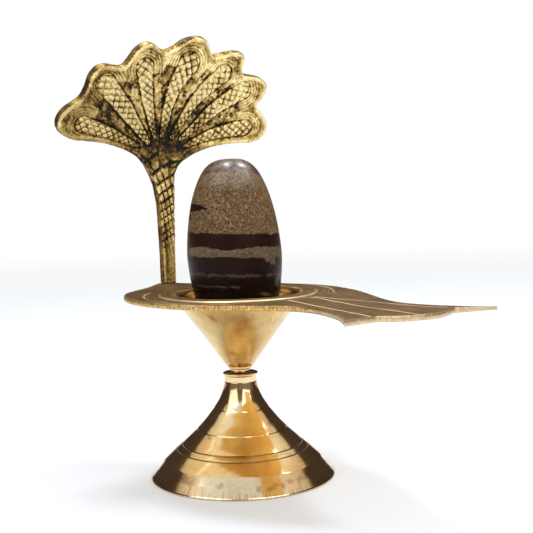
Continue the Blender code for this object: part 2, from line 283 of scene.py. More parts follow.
class Nodes:
    """Short names for making the nodes of a material or of the world."""

    def __init__(self, owner, place="Object", bare=False):
        if isinstance(owner, str):
            owner = bpy.data.materials.new(owner)
        owner.use_nodes = True
        self.owner = owner
        self.tree = owner.node_tree
        if bare:
            self.tree.nodes.clear()
        self.place = self.made("ShaderNodeTexCoord", output=place)

    def join(self, source, target):
        """Link a node's output to an input, or set the input to a plain value."""
        if isinstance(source, Value):
            self.tree.links.new(source.socket, target)
        else:
            target.default_value = source

    def made(self, kind, inputs=(), output=0, **settings):
        """The output of a new node, with its inputs joined in order or by their names."""
        made = self.tree.nodes.new(kind)
        for key, value in settings.items():
            setattr(made, key, value)
        for key, source in inputs.items() if isinstance(inputs, dict) else enumerate(inputs):
            self.join(source, made.inputs[key])
        return Value(self, made.outputs[output])

    def maths(self, operation, *sources):
        return self.made("ShaderNodeMath", sources, operation=operation)

    def most(self, first, *others):
        """The greatest of the values."""
        for other in others:
            first = self.maths("MAXIMUM", first, other)
        return first

    def distance(self, vector, centre=(0.0, 0.0, 0.0)):
        return self.made("ShaderNodeVectorMath", (vector, centre), "Value", operation="DISTANCE")

    def vector(self, x, y, z):
        return self.made("ShaderNodeCombineXYZ", (x, y, z))

    def parts(self, vector):
        whole = self.made("ShaderNodeSeparateXYZ", (vector,))
        return [Value(self, socket) for socket in whole.socket.node.outputs]

    def noise(self, scale, detail=4.0, roughness=0.55, distortion=0.0, at=None):
        """Smooth noise from 0 to 1, at the object's own coordinates unless others are given."""
        return self.made("ShaderNodeTexNoise", {
            "Vector": self.place if at is None else at, "Scale": scale, "Detail": detail,
            "Roughness": roughness, "Distortion": distortion}, "Fac")

    def span(self, value, low, high, to_low=0.0, to_high=1.0, smooth=False):
        """The value's place between low and high, kept within those ends."""
        return self.made("ShaderNodeMapRange", (value, low, high, to_low, to_high),
                         interpolation_type="SMOOTHSTEP" if smooth else "LINEAR")

    def blend(self, share, first, second):
        return self.made("ShaderNodeMix", {"Factor": share, "A": first, "B": second}, "Result",
                         data_type="RGBA")

    def ramp(self, value, stops, interpolation="LINEAR"):
        made = self.made("ShaderNodeValToRGB", (value,))
        colours = made.socket.node.color_ramp
        colours.interpolation = interpolation
        while len(colours.elements) < len(stops):
            colours.elements.new(0.5)
        for element, (position, colour) in zip(colours.elements, stops):
            element.position = position
            element.color = (*colour[:3], 1.0)
        return made

    def named(self, name):
        return self.made("ShaderNodeAttribute", output="Fac", attribute_name=name)

    def bump(self, height, distance, strength):
        return self.made("ShaderNodeBump", {"Strength": strength, "Distance": distance, "Height": height})

    def show(self, output_kind, share, first, second):
        """Join two shaders, mixed by share, to a new output node."""
        mixed = self.made("ShaderNodeMixShader", (share, first, second))
        self.join(mixed, self.tree.nodes.new(output_kind).inputs[0])

    def finish(self, colour, roughness, metallic, normal, **others):
        """Join the material's own shader, with its other inputs by their names."""
        shader = self.tree.nodes["Principled BSDF"]
        sources = {"Base Color": colour, "Roughness": roughness, "Metallic": metallic, "Normal": normal}
        for key, source in (*sources.items(), *others.items()):
            self.join(source, shader.inputs[key.replace("_", " ")])
        return self.owner


def tone(red, green, blue):
    """A linear colour from display values of 0 to 255."""
    linear = [(value / 255.0 / 12.92) if value <= 10 else ((value / 255.0 + 0.055) / 1.055) ** 2.4
              for value in (red, green, blue)]
    return (*linear, 1.0)


# The stone.

def stone_profile(rings):
    points = []
    for end_z, turns in ((STONE_TOP_Z, range(rings, 0, -1)), (STONE_BOTTOM_Z, range(0, rings + 1))):
        for ring in turns:
            angle = 0.5 * pi * ring / rings
            radius = STONE_RADIUS * max(cos(angle), 0.0) ** (2.0 / STONE_SIDE_POWER)
            share = sin(angle) ** (2.0 / STONE_END_POWER)
            points.append((radius, STONE_WIDEST_Z + share * (end_z - STONE_WIDEST_Z)))
    return points


def uneven_stone(points):
    """Slow swells a fraction of a millimetre deep, as a river leaves them, then the lean."""
    swell = 0.16 * field_noise(points, 15.0, 3.0) - 0.08
    outward = points.copy()
    outward[..., 2] = 0.0
    outward /= np.maximum(np.linalg.norm(outward, axis=-1, keepdims=True), 1e-6)
    points = points + outward * swell[..., None] * falling(points[..., 2:], STONE_TOP_Z - 8.0, 8.0)
    pivot = Vector((0.0, 0.0, STONE_WIDEST_Z))
    lean = Matrix.Rotation(STONE_TILT[0], 3, "X") @ Matrix.Rotation(STONE_TILT[1], 3, "Y")
    shift = np.array([STONE_OFFSET[0], STONE_OFFSET[1], STONE_WIDEST_Z])
    return (points - np.array(pivot)) @ np.array(lean).T + shift


STONE_DARK = tone(36, 18, 12)
STONE_DEEP = tone(20, 11, 6)
STONE_TAN = tone(112, 89, 62)
STONE_GREY = tone(108, 92, 72)
STONE_CAP = tone(84, 40, 30)
BAND_TILT = 0.05
WEDGE_TIP = -76.0
WEDGE_REACH = 48.0
WEDGE_Z = 86.85
WEDGE_HALF = 1.75
TAN_FOOT_Z = 79.0
GREY_TOP_Z = 73.7
GREY_WAVE = 1.8
GREY_FOOT_Z = 71.6
THIN_BAND = (65.6, 66.5)
LOW_THIN_BAND = (62.1, 62.8)
CAP_EDGE = (97.9, 98.3)
CAP_DROOP = 9.0
TAIL_SPOT = ((-6.2, -13.4, 84.5), 1.15)
GREY_TOOTH = (((14.4, 2.6, 71.0), 1.6), ((14.4, 3.5, 69.9), 0.8), ((14.75, 0.6, 71.75), 1.5))
LOWER_PATCH = ((13.0, 6.0, 63.7), 1.6)
GREY_TOP_WAVE = (
    (0.0, 0.5), (0.12, 0.35), (0.197, 0.0), (0.25, 0.72), (0.30, 0.60), (0.343, 0.0), (0.38, 0.12),
    (0.436, 0.52), (0.504, 0.90), (0.594, 0.62), (0.70, 0.30), (0.85, 0.62), (1.0, 0.5),
)


def stone_material():
    """Dark reddish-brown bands with ragged edges over speckled grey-tan stone."""
    nodes = Nodes("stone_banded")
    x, y, z = nodes.parts(nodes.place)
    ragged = nodes.noise(620.0, 4.0, 0.6) * 0.0014 - 0.0007
    slow = nodes.noise(150.0, 2.0, 0.5) * 0.001 - 0.0005
    shift = ragged + slow
    level_z = y * BAND_TILT + z
    height = level_z + shift
    turn = nodes.maths("ARCTAN2", y, x) * (180.0 / pi)
    round_share = nodes.span(turn, -180.0, 180.0)
    wave = nodes.ramp(round_share, [(at, (rise,) * 3) for at, rise in GREY_TOP_WAVE], "B_SPLINE")
    edge = 0.00018

    def above(level):
        return nodes.span(height, level * MM - edge, level * MM + edge)

    def between(low, high):
        return above(low) * (1.0 - above(high))

    def spot(centre, reach):
        away = nodes.distance(nodes.place, tuple(value * MM for value in centre)) + shift
        return nodes.span(away, (reach - 0.2) * MM, (reach + 0.2) * MM, 1.0, 0.0)

    share = nodes.span(turn, WEDGE_TIP, WEDGE_TIP - WEDGE_REACH)
    ending = nodes.span(turn, -170.0, -150.0)
    half = share ** 0.7 * (WEDGE_HALF * MM) * ending
    from_middle = abs(height - WEDGE_Z * MM)
    wedge = nodes.span(half - from_middle, -0.00012, 0.00012)
    wedge = wedge * nodes.span(turn, WEDGE_TIP + 1.0, WEDGE_TIP - 2.0)
    wedge = nodes.most(wedge, spot(*TAIL_SPOT))

    # The cap's edge hangs a millimetre lower at the two sides than at the front and the back.
    across = x * 0.62 + y * 0.78
    droop = across * across * CAP_DROOP
    cap_height = level_z + ragged + droop
    cap = nodes.span(cap_height, CAP_EDGE[0] * MM, CAP_EDGE[1] * MM)
    tan = above(TAN_FOOT_Z) * (1.0 - wedge)
    over_top = height - GREY_TOP_Z * MM - wave * (GREY_WAVE * MM)
    grey = above(GREY_FOOT_Z) * nodes.span(over_top, -edge, edge, 1.0, 0.0)
    grey = nodes.most(grey, *(spot(*tooth) for tooth in GREY_TOOTH))
    breaks = nodes.span(nodes.noise(190.0, 3.0), 0.42, 0.54)
    thin = between(*THIN_BAND) * breaks
    thin_low = between(*LOW_THIN_BAND) * nodes.span(nodes.noise(120.0, 3.0), 0.5, 0.6)
    specks = nodes.span(nodes.noise(1500.0, 2.0, 0.6), 0.56, 0.64)
    pale_grains = nodes.span(nodes.noise(1250.0, 3.0, 0.7), 0.52, 0.64)
    mottle = nodes.span(nodes.noise(180.0, 4.0, 0.6), 0.35, 0.68)
    light = nodes.blend(mottle, STONE_TAN, tone(92, 68, 42))
    light = nodes.blend(pale_grains * 0.72, light, tone(160, 138, 110))
    light = nodes.blend(specks * 0.95, light, tone(42, 24, 14))
    pale = nodes.blend(mottle, STONE_GREY, tone(84, 68, 50))
    pale = nodes.blend(pale_grains * 0.55, pale, tone(138, 128, 110))
    pale = nodes.blend(specks * 0.6, pale, tone(56, 40, 28))
    dark = nodes.blend(nodes.span(z, 0.062, 0.076), STONE_DEEP, STONE_DARK)
    dark = nodes.blend(pale_grains * 0.1, dark, tone(80, 50, 38))
    colour = nodes.blend(tan, dark, light)
    colour = nodes.blend(grey, colour, pale)
    faint = nodes.most(nodes.most(thin, thin_low) * 0.6, spot(*LOWER_PATCH) * 0.75)
    colour = nodes.blend(faint, colour, tone(98, 80, 66))
    colour = nodes.blend(cap, colour, nodes.blend(mottle, STONE_CAP, tone(54, 25, 19)))
    sheen = nodes.most(1.0 - nodes.most(tan, grey), cap)
    roughness = nodes.span(sheen, 0.0, 1.0, 0.46, 0.27)
    blotches = nodes.span(nodes.noise(420.0, 3.0, 0.6), 0.35, 0.65, 0.22, 0.36)
    roughness = cap * (blotches - 0.27) + roughness
    grain = nodes.noise(1300.0, 4.0, 0.6) - specks
    normal = nodes.bump(grain, 0.00005, 0.35)
    worn = nodes.span(nodes.noise(460.0, 3.0, 0.65), 0.36, 0.62, 0.30, 1.0)
    polish = nodes.span(cap_height, 0.0925, 0.0985) * worn
    return nodes.finish(colour, roughness, 0.0, normal, Coat_Weight=polish, Specular_IOR_Level=0.10,
                        Coat_Roughness=0.40, Coat_IOR=2.3)


def make_stone():
    stone = lathe("lingam_stone", stone_profile(56), 176, 60.0, uneven_stone)
    stone.data.materials.append(stone_material())
    return stone


# The turned brass pieces.

# The rim band below these heights is painted paler and whiter: a painted reflection.
PAINTED_REFLECTION_Z = (5.7, 6.0)
STROKES_Z = (1.2, 3.0)
RING_WIDTH = 0.45


def turned_brass(name, bright, warm, tarnish, roughness, rings, ring_tone, smears, smear_tone, groove_shade_radii=()):
    """Polished brass with turning marks round its axis, a warm tarnish and separate stains, a painted
    reflection on the rim band and painted shade along the given groove radii.
    """
    nodes = Nodes(name)
    x, y, z = nodes.parts(nodes.place)
    radius = nodes.distance(nodes.vector(x, y, 0.0))
    turning = nodes.vector(radius, 0.0, z)
    marks = nodes.noise(2600.0, 3.0, 0.7, at=turning)
    wide_marks = nodes.noise(420.0, 2.0, 0.5, at=turning)
    cloud = nodes.span(nodes.noise(60.0, 4.0, 0.6), 0.38, 0.68)
    film = nodes.span(nodes.noise(170.0, 5.0, 0.65, 0.4), 0.52, 0.72)
    colour = nodes.blend(cloud, bright, warm)
    colour = nodes.blend(film * 0.45, colour, tarnish)
    colour = nodes.blend(nodes.span(wide_marks, 0.5, 0.75, 0.0, 0.3), colour, warm)
    # Painted reflection: below the step the rim band is painted a paler, whiter tone all round.
    painted_rim_reflection = nodes.span(z, PAINTED_REFLECTION_Z[0] * MM, PAINTED_REFLECTION_Z[1] * MM, 0.28, 0.0)
    colour = nodes.blend(painted_rim_reflection, colour, tone(214, 214, 212))
    dull = film * 0.05
    wander = nodes.noise(330.0, 3.0) * 0.0056 - 0.0028
    ragged = nodes.noise(1200.0, 3.0) * 0.0008 - 0.0004 + wander
    stains = [(*ring, True, ring_tone) for ring in rings]
    stains += [(*smear, False, smear_tone) for smear in smears]
    for centre, reach, hollow, stain in stains:
        away = nodes.distance(nodes.place, tuple(value * MM for value in centre)) + ragged
        edge = 0.00022 if hollow else 0.00050
        spot = nodes.span(away, reach * MM - edge, reach * MM + edge, 1.0, 0.0)
        if hollow:
            inside = (reach - RING_WIDTH) * MM
            spot = spot * nodes.span(away, inside - edge, inside + edge, 0.25, 1.0)
        colour = nodes.blend(spot * 0.45, colour, stain)
        dull = nodes.most(dull, spot * 0.06)
    # Painted shade: thin dark brown lines along the given groove radii.
    for shaded_radius in groove_shade_radii:
        off = abs(radius - shaded_radius * MM)
        line = nodes.span(off, 0.00007, 0.00020, 0.75, 0.0)
        colour = nodes.blend(line, colour, tone(70, 44, 18))
    rough = nodes.span(marks, 0.3, 0.7, roughness - 0.03, roughness + 0.05) + dull
    turn = nodes.maths("ARCTAN2", y, x)
    strokes = nodes.noise(1700.0, 2.0, 0.7, at=nodes.vector(turn * 0.03, z * 0.08, 0.0))
    low_band = nodes.span(z + wander, STROKES_Z[0] * MM, STROKES_Z[1] * MM, 1.0, 0.0)
    stroke_tone = nodes.span(strokes, 0.46, 0.62) * (low_band * 0.5)
    colour = nodes.blend(stroke_tone, colour, tone(150, 108, 54))
    normal = nodes.bump(marks + strokes * low_band, 0.00002, 0.3)
    tangent = nodes.made("ShaderNodeTangent", direction_type="RADIAL", axis="Z")
    return nodes.finish(colour, rough, 1.0, normal, Anisotropic=0.55, Tangent=tangent)


def base_outline():
    """The base's outer side from the lip down to the foot, as runs between its steps."""
    lip = [(5.45, 33.8), (5.7, 33.65), (5.7, 33.25), (5.4, 32.95), (5.3, 32.8), (5.3, 31.05)]
    upper = [tuple(point) for point in spline_through(
        [(5.34, 30.95), (5.95, 28.2), (7.25, 25.1), (8.95, 22.4)], 8)]
    middle = [tuple(point) for point in spline_through(
        [(9.02, 22.25), (10.0, 20.95), (12.3, 18.1), (14.5, 15.75)], 6)]
    lower = [(14.58, 15.55), (17.6, 12.8)]
    step = [(25.3, 6.0), (25.5, 5.8)]
    rim = [(27.6, 3.3), (29.8, 0.8), (30.0, 0.5), (30.0, 0.0)]
    return lip, upper, middle, lower, step, rim


def fine_groove(radius, height, half=0.13, depth=0.12):
    return [(radius - half, height + half), (radius - depth, height - 0.05), (radius + half, height - half)]


BASE_RINGS = (((12.2, 2.2, 18.0), 1.35), ((2.0, -15.1, 15.2), 0.65), ((3.6, -7.4, 23.3), 0.8))
BASE_SMEARS = (
    ((4.9, -26.4, 4.4), 1.6), ((7.0, -26.3, 4.0), 1.2), ((21.4, -17.0, 3.0), 0.9),
    ((22.9, -15.6, 2.6), 0.8), ((24.4, -13.8, 2.9), 0.9), ((25.8, -11.4, 2.7), 0.8),
    ((26.5, -9.2, 3.2), 0.9), ((27.3, -6.4, 3.1), 0.9), ((27.6, -3.4, 3.7), 1.0),
    ((27.6, 0.6, 4.0), 1.1), ((16.0, -21.5, 3.9), 0.7),
)
CUP_RINGS = (((5.2, -4.9, 39.8), 0.8),)
CUP_SMEARS = (
    ((6.1, -16.5, 54.3), 0.75), ((6.5, -15.9, 53.6), 0.75), ((6.8, -15.2, 53.0), 0.8),
    ((13.9, -8.3, 52.4), 0.9), ((15.5, -7.1, 53.5), 0.7), ((13.4, -7.1, 50.9), 1.0),
    ((4.9, -6.3, 41.0), 0.6),
)


def make_base():
    lip, upper, middle, lower, step, rim = base_outline()
    grooves = fine_groove(19.75, 10.85) + fine_groove(21.5, 9.35)
    outline = [(0.0, BASE_TOP_Z), *lip, *upper, *middle, *lower, *grooves, *step, *rim, (0.0, 0.0)]
    profile = rounded(outline, 0.10, 3)
    base = lathe("turned_base", profile, 256, 30.0)
    # The last radii get painted groove shade.
    base.data.materials.append(turned_brass(
        "brass_base_turned", tone(238, 220, 180), tone(220, 182, 122), tone(170, 116, 56), 0.088,
        BASE_RINGS, tone(104, 62, 22), BASE_SMEARS, tone(150, 84, 18), (19.65, 21.4)))
    return base


def cone_radius(height):
    return CUP_CONE_START[0] + CUP_SLOPE * (height - CUP_CONE_START[1])


def make_cup():
    inside = [(0.0, CUP_FLOOR_Z), (3.4, CUP_FLOOR_Z + 0.3)]
    inside += [(cone_radius(height) - CUP_WALL, height) for height in (40.6, 45.0, 51.0, 57.4)]
    collar = [(COLLAR_INNER_RADIUS, 57.9), (COLLAR_INNER_RADIUS, COLLAR_TOP_Z - 0.15),
              (COLLAR_INNER_RADIUS + 0.15, COLLAR_TOP_Z), (COLLAR_RADIUS, COLLAR_TOP_Z)]
    outside = [(cone_radius(height), height) for height in (56.9, 52.0, 46.0, 41.0)]
    foot_z = BASE_TOP_Z + GAP
    foot = [(4.45, 36.05), (4.0, 35.95), (4.05, 35.35), (3.3, 35.15), (3.3, foot_z), (0.0, foot_z)]
    profile = rounded([*inside, *collar, *outside, *foot], 0.18, 3)
    cup = lathe("turned_cup", profile, 256, 30.0)
    orange = tone(168, 104, 28)
    cup.data.materials.append(turned_brass(
        "brass_cup_turned", tone(231, 206, 150), tone(201, 164, 100), tone(176, 122, 56), 0.15,
        CUP_RINGS, orange, CUP_SMEARS, orange))
    return cup


# The plate.

def edge_curves():
    """The sheet's right and left sides, each as many smooth points."""
    right = spline_through([REAR_TIP, *RIGHT_EDGE, RIGHT_CORNER], 16)
    left = spline_through([REAR_TIP, *LEFT_EDGE, LEFT_CORNER], 16)
    return right, left


def spaced(points, count):
    """The same line as count points at even distances along it."""
    steps = np.linalg.norm(np.diff(points, axis=0), axis=1)
    along = running_total(steps)
    wanted = np.linspace(0.0, along[-1], count)
    return np.stack([np.interp(wanted, along, points[:, k]) for k in (0, 1)], axis=1)


def tail_end(columns):
    """The tail's end from the right corner to the left one; both notches fall on grid columns."""
    first, last = int(0.24 * columns), int(0.80 * columns)
    parts = (spaced(np.array([RIGHT_CORNER, RIGHT_NOTCH]), first + 1)[:-1],
             spaced(spline_through([RIGHT_NOTCH, *TAIL_BULGE, LEFT_NOTCH], 12), last - first + 1)[:-1],
             spaced(np.array([LEFT_NOTCH, LEFT_CORNER]), columns - last + 1))
    return np.vstack(parts)


def outward_of(loop):
    """Sideways direction at each point of a closed loop of (x, y) points."""
    ahead = np.roll(loop, -1, axis=0) - np.roll(loop, 1, axis=0)
    normal = np.stack([ahead[:, 1], -ahead[:, 0]], axis=1)
    return normal / np.linalg.norm(normal, axis=1, keepdims=True)


DISC_RADII = (20.3, 20.45, 20.7, 21.1, 21.7, 22.25, 22.45, 22.6, 22.75, 22.95, 23.5, 24.2,
              24.8, 25.0, 25.2, 25.4, 25.6, 26.0, 26.6)
TAIL_TURN = radians(56.0)
TAIL_COLUMNS = 236
TAIL_ROWS = 104
DISC_COLUMNS = 330
DISC_ROWS = 14
TAIL_SPOKE_ROWS = DISC_ROWS
EDGE_BEVEL = 0.32
SHEET_BOTTOM_Z = 57.85


def polar(radius, turns):
    return np.stack([radius * np.cos(turns), radius * np.sin(turns)], axis=-1)


def tail_grid():
    """Rows from the disc's ring to the tail's end, columns from the right side to the left."""
    right, left = edge_curves()
    turns = np.linspace(-TAIL_TURN, TAIL_TURN, TAIL_COLUMNS + 1)
    start = polar(DISC_RADII[-1], turns)
    end = tail_end(TAIL_COLUMNS)
    sides = []
    for curve, turn in ((right, -TAIL_TURN), (left, TAIL_TURN)):
        angles = np.arctan2(curve[:, 1], curve[:, 0])
        ahead = curve[:, 0] > 0.0
        sign = 1.0 if turn > 0 else -1.0
        beyond = ahead & (sign * angles < abs(turn))
        first = int(np.argmax(beyond))
        low, high = curve[first - 1], curve[first]
        share = (turn - angles[first - 1]) / (angles[first] - angles[first - 1])
        corner = low + (high - low) * share
        sides.append((corner, curve[first:]))
    rows = []
    for corner, rest in sides:
        inner = polar(DISC_RADII[-1], np.arctan2(corner[1], corner[0]))
        spoke = np.linspace(inner, corner, TAIL_SPOKE_ROWS + 1)
        outer = spaced(np.vstack([corner, rest]), TAIL_ROWS - TAIL_SPOKE_ROWS + 1)
        rows.append(np.vstack([spoke[:-1], outer]))
    low, high = rows
    share = np.linspace(0.0, 1.0, TAIL_COLUMNS + 1)[None, :, None]
    run = np.linspace(0.0, 1.0, TAIL_ROWS + 1)[:, None, None]
    across = low[:, None] * (1 - share) + high[:, None] * share
    along = start[None] * (1 - run) + end[None] * run
    corners = ((low[0] * (1 - share) + high[0] * share) * (1 - run)
               + (low[-1] * (1 - share) + high[-1] * share) * run)
    return across + along - corners


def rim_grid():
    """Rows from the disc's ring to the sheet's edge, all round but for the tail."""
    right, left = edge_curves()
    loop = np.vstack([left[::-1], right[1:]])
    angles = np.unwrap(np.arctan2(loop[:, 1], loop[:, 0]))
    radii = np.hypot(loop[:, 0], loop[:, 1])
    first = int(np.argmax((loop[:, 0] < 24.0) & (loop[:, 1] > 0)))
    last = len(loop) - int(np.argmax((loop[::-1, 0] < 24.0) & (loop[::-1, 1] < 0)))
    tip = np.arctan2(REAR_TIP[1], REAR_TIP[0])
    half = DISC_COLUMNS // 2
    turns = np.concatenate([np.linspace(TAIL_TURN, tip, half + 1)[:-1],
                            np.linspace(tip, 2 * pi - TAIL_TURN, DISC_COLUMNS - half + 1)])
    reach = np.interp(turns, angles[first:last], radii[first:last])
    share = np.linspace(0.0, 1.0, DISC_ROWS + 1)[:, None]
    return polar(DISC_RADII[-1] * (1 - share) + reach[None, :] * share, turns[None, :])


TAIL_LINES = (
    ((27.5, -2.6), (33.7, -4.4), (53.8, -10.4), (69.6, -14.5), (75.4, -16.4)),
    ((27.0, 7.0), (34.1, 6.2), (54.9, 0.3), (66.3, -1.0), (80.3, -3.2)),
    ((27.0, 9.0), (37.7, 9.7), (49.8, 11.8), (63.8, 11.9), (74.0, 15.2)),
)


def engraved_lines():
    """The long lines cut down the tail."""
    return [spline_through(route, 10) for route in TAIL_LINES]


LINE_HALF_WIDTH = 0.42
DISC_LINE_RADIUS = 30.6
HORN_REACH = 16.0


def line_distance(points, lines):
    """How far each (x, y) lies from the nearest engraved line."""
    best = np.full(points.shape[:-1], 1e9)
    for line in lines:
        for first, last in zip(line, line[1:]):
            along = last - first
            share = np.clip(((points - first) @ along) / (along @ along), 0.0, 1.0)
            gap = np.linalg.norm(points - first - share[..., None] * along, axis=-1)
            best = np.minimum(best, gap)
    return best


def tail_drop(points):
    """How much the twisted tail moves each point down."""
    ramp = rising(points[..., 0], TWIST_START, TWIST_LENGTH)
    return TAIL_TWIST * ramp * points[..., 1]


def plate_rise(points, lines_gap):
    """Height of the face over the flat sheet: the raised band, its grooves and the cut lines."""
    radius = np.hypot(points[..., 0], points[..., 1])
    band = BAND_HEIGHT * falling(radius, BAND_RADIUS - 0.4, 0.6)
    band = band - 0.16 * groove(radius - GROOVE_RADIUS, 0.25)
    band = band - 0.14 * falling(radius, HOLE_RADIUS, 0.4)
    return band - 0.14 * falling(lines_gap, 0.0, LINE_HALF_WIDTH)


def plate_sheet():
    """Flat points and faces of the whole sheet, its outer loop and its hole's loop."""
    tail = tail_grid()
    rim = rim_grid()
    ring_turns = np.concatenate([np.linspace(-TAIL_TURN, TAIL_TURN, TAIL_COLUMNS + 1)[:-1],
                                 np.arctan2(rim[0, :-1, 1], rim[0, :-1, 0])])
    around = len(ring_turns)
    rings = np.stack([polar(radius, ring_turns) for radius in DISC_RADII])
    index = np.arange(rings.shape[0] * around).reshape(rings.shape[0], around)
    total = index.size
    closed = np.hstack([index, index[:, :1]])
    faces = [grid_faces(closed)]
    outer_ring = closed[-1]
    tail_index = np.vstack([outer_ring[:TAIL_COLUMNS + 1],
                            total + np.arange(TAIL_ROWS * (TAIL_COLUMNS + 1)).reshape(TAIL_ROWS, -1)])
    total += TAIL_ROWS * (TAIL_COLUMNS + 1)
    faces.append(grid_faces(tail_index))
    rim_index = np.zeros((DISC_ROWS + 1, DISC_COLUMNS + 1), dtype=int)
    rim_index[0] = outer_ring[TAIL_COLUMNS:]
    rim_index[1:, 1:-1] = total + np.arange(DISC_ROWS * (DISC_COLUMNS - 1)).reshape(DISC_ROWS, -1)
    spokes = TAIL_SPOKE_ROWS
    tail_right = tail_index[:spokes + 1, 0]
    tail_left = tail_index[:spokes + 1, -1]
    rim_index[:, 0] = tail_left
    rim_index[:, -1] = tail_right
    faces.append(grid_faces(rim_index))
    points = np.vstack([rings.reshape(-1, 2), tail[1:].reshape(-1, 2), rim[1:, 1:-1].reshape(-1, 2)])
    outer = np.concatenate([tail_index[spokes:, 0], tail_index[-1, 1:], tail_index[spokes:-1, -1][::-1],
                            rim_index[-1, 1:-1]])
    return points, np.vstack(faces), outer, index[0]


def make_plate():
    """The carved face, a plain underside, and a filed edge that runs down all round."""
    flat, quads, outer, hole = plate_sheet()
    lines = engraved_lines()
    gap = line_distance(flat, lines)
    sag = tail_drop(flat)
    beaten = 0.05 * field_noise(raised_to(flat, 0.0), 9.0, 5.0)
    edge_points = flat[outer]
    away = outward_of(edge_points)
    if np.sum(away * edge_points) < 0:
        away = -away
    placed = flat.copy()
    placed[outer] -= away * EDGE_BEVEL
    horn = falling(np.linalg.norm(flat - np.array(LEFT_CORNER), axis=1), 0.0, HORN_REACH)
    top_z = PLATE_TOP_Z - sag - 0.30 * horn
    bottom_z = SHEET_BOTTOM_Z - sag + 0.45 * horn
    top = np.column_stack([placed, top_z + plate_rise(flat, gap) + beaten])
    bottom = np.column_stack([placed, bottom_z])
    count = len(flat)
    rows = []
    levels = (0.88, 0.66, 0.40, 0.14)
    for level in levels:
        mark_points = raised_to(edge_points, level * 0.8)
        marks = 0.09 * field_noise(mark_points, 0.7, 11.0) + 0.10 * field_noise(mark_points, 2.1, 12.0)
        inset = 0.10 + 0.5 * (level - 0.5) ** 2 - np.clip(marks, -0.16, 0.08)
        height = mix(bottom_z[outer], top_z[outer], level)
        rows.append(np.column_stack([edge_points - away * inset[:, None], height]))
    faces = np.vstack([quads, quads[:, ::-1] + count, edge_faces(outer, count, len(levels)),
                       band_faces(hole + count, hole)])
    plate = new_object("leaf_plate", np.vstack([top, bottom, *rows]), faces, 35.0)
    nothing = np.zeros(count)
    # The face's outer border, which the material paints bright: partly real rubbing, partly painted
    # highlight.
    rub_and_highlight = nothing.copy()
    rub_and_highlight[outer] = 1.0
    cut = falling(gap, 0.0, LINE_HALF_WIDTH)
    for name, on_top, below, on_edge in (
            ("cut_line", cut, 0.0, 0.0), ("underside", nothing, 1.0, 0.0),
            ("filed_edge", nothing, 0.0, 1.0), ("edge_rub_and_highlight", rub_and_highlight, 0.0, 0.0)):
        edge_values = np.full(len(outer) * len(levels), on_edge)
        add_values(plate, name, np.concatenate([on_top, np.full(count, below), edge_values]))
    plate.data.materials.append(plate_material())
    return plate


ROUND_BRUSHING = (30.0, 42.0)


